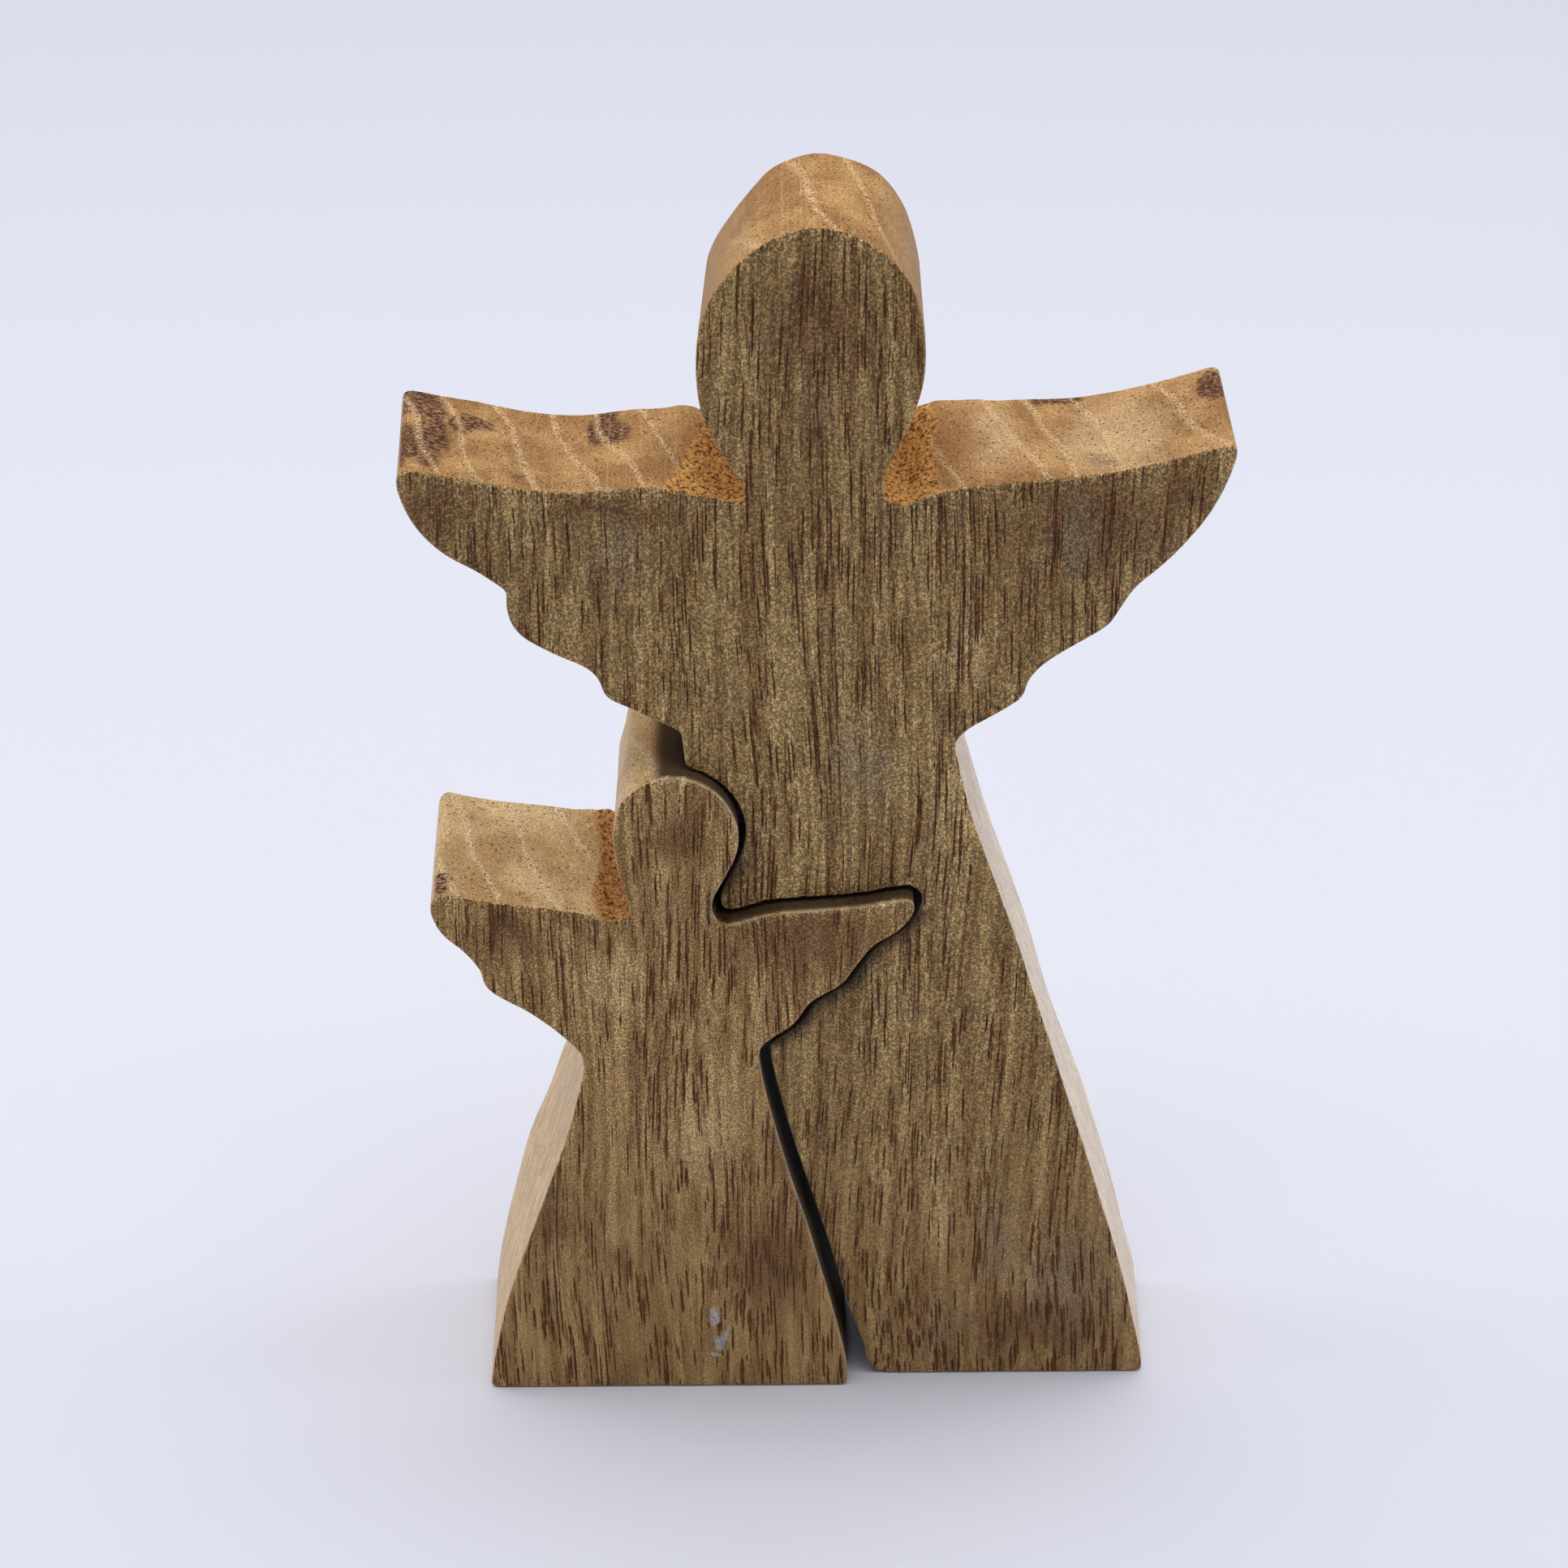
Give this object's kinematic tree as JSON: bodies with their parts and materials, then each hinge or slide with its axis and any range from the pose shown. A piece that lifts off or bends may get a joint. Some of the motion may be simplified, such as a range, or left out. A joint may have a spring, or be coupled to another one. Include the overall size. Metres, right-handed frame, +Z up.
{
  "type": "nesting wooden angel figure",
  "caption": "Guardian angel silhouette sawn from solid hardwood board, with a smaller angel standing in a nest cut into its side and sliding out to the front or back.",
  "frame": {"origin": "on the ground, under the middle of the pair's bounding box", "axes": "+Z up, -Y out of the front faces, +X to the right seen from the front, so the small angel is on the -X side"},
  "size_m": [0.1033, 0.024, 0.1785],
  "materials": {
    "large_wood": "sanded, unvarnished olive-brown hardwood with dark vessel lines; end grain lighter and orange",
    "small_wood": "sanded, unvarnished hardwood, slightly warmer brown, with dark vessel lines; end grain lighter"
  },
  "bodies": {
    "large": {"large_angel": "large_wood"},
    "small": {"small_angel": "small_wood"}
  },
  "joints": [
    {"name": "small_slide", "type": "slide", "parent": "large", "child": "small", "axis": [0, -1, 0], "range_m": [-0.025, 0.025]}
  ]
}
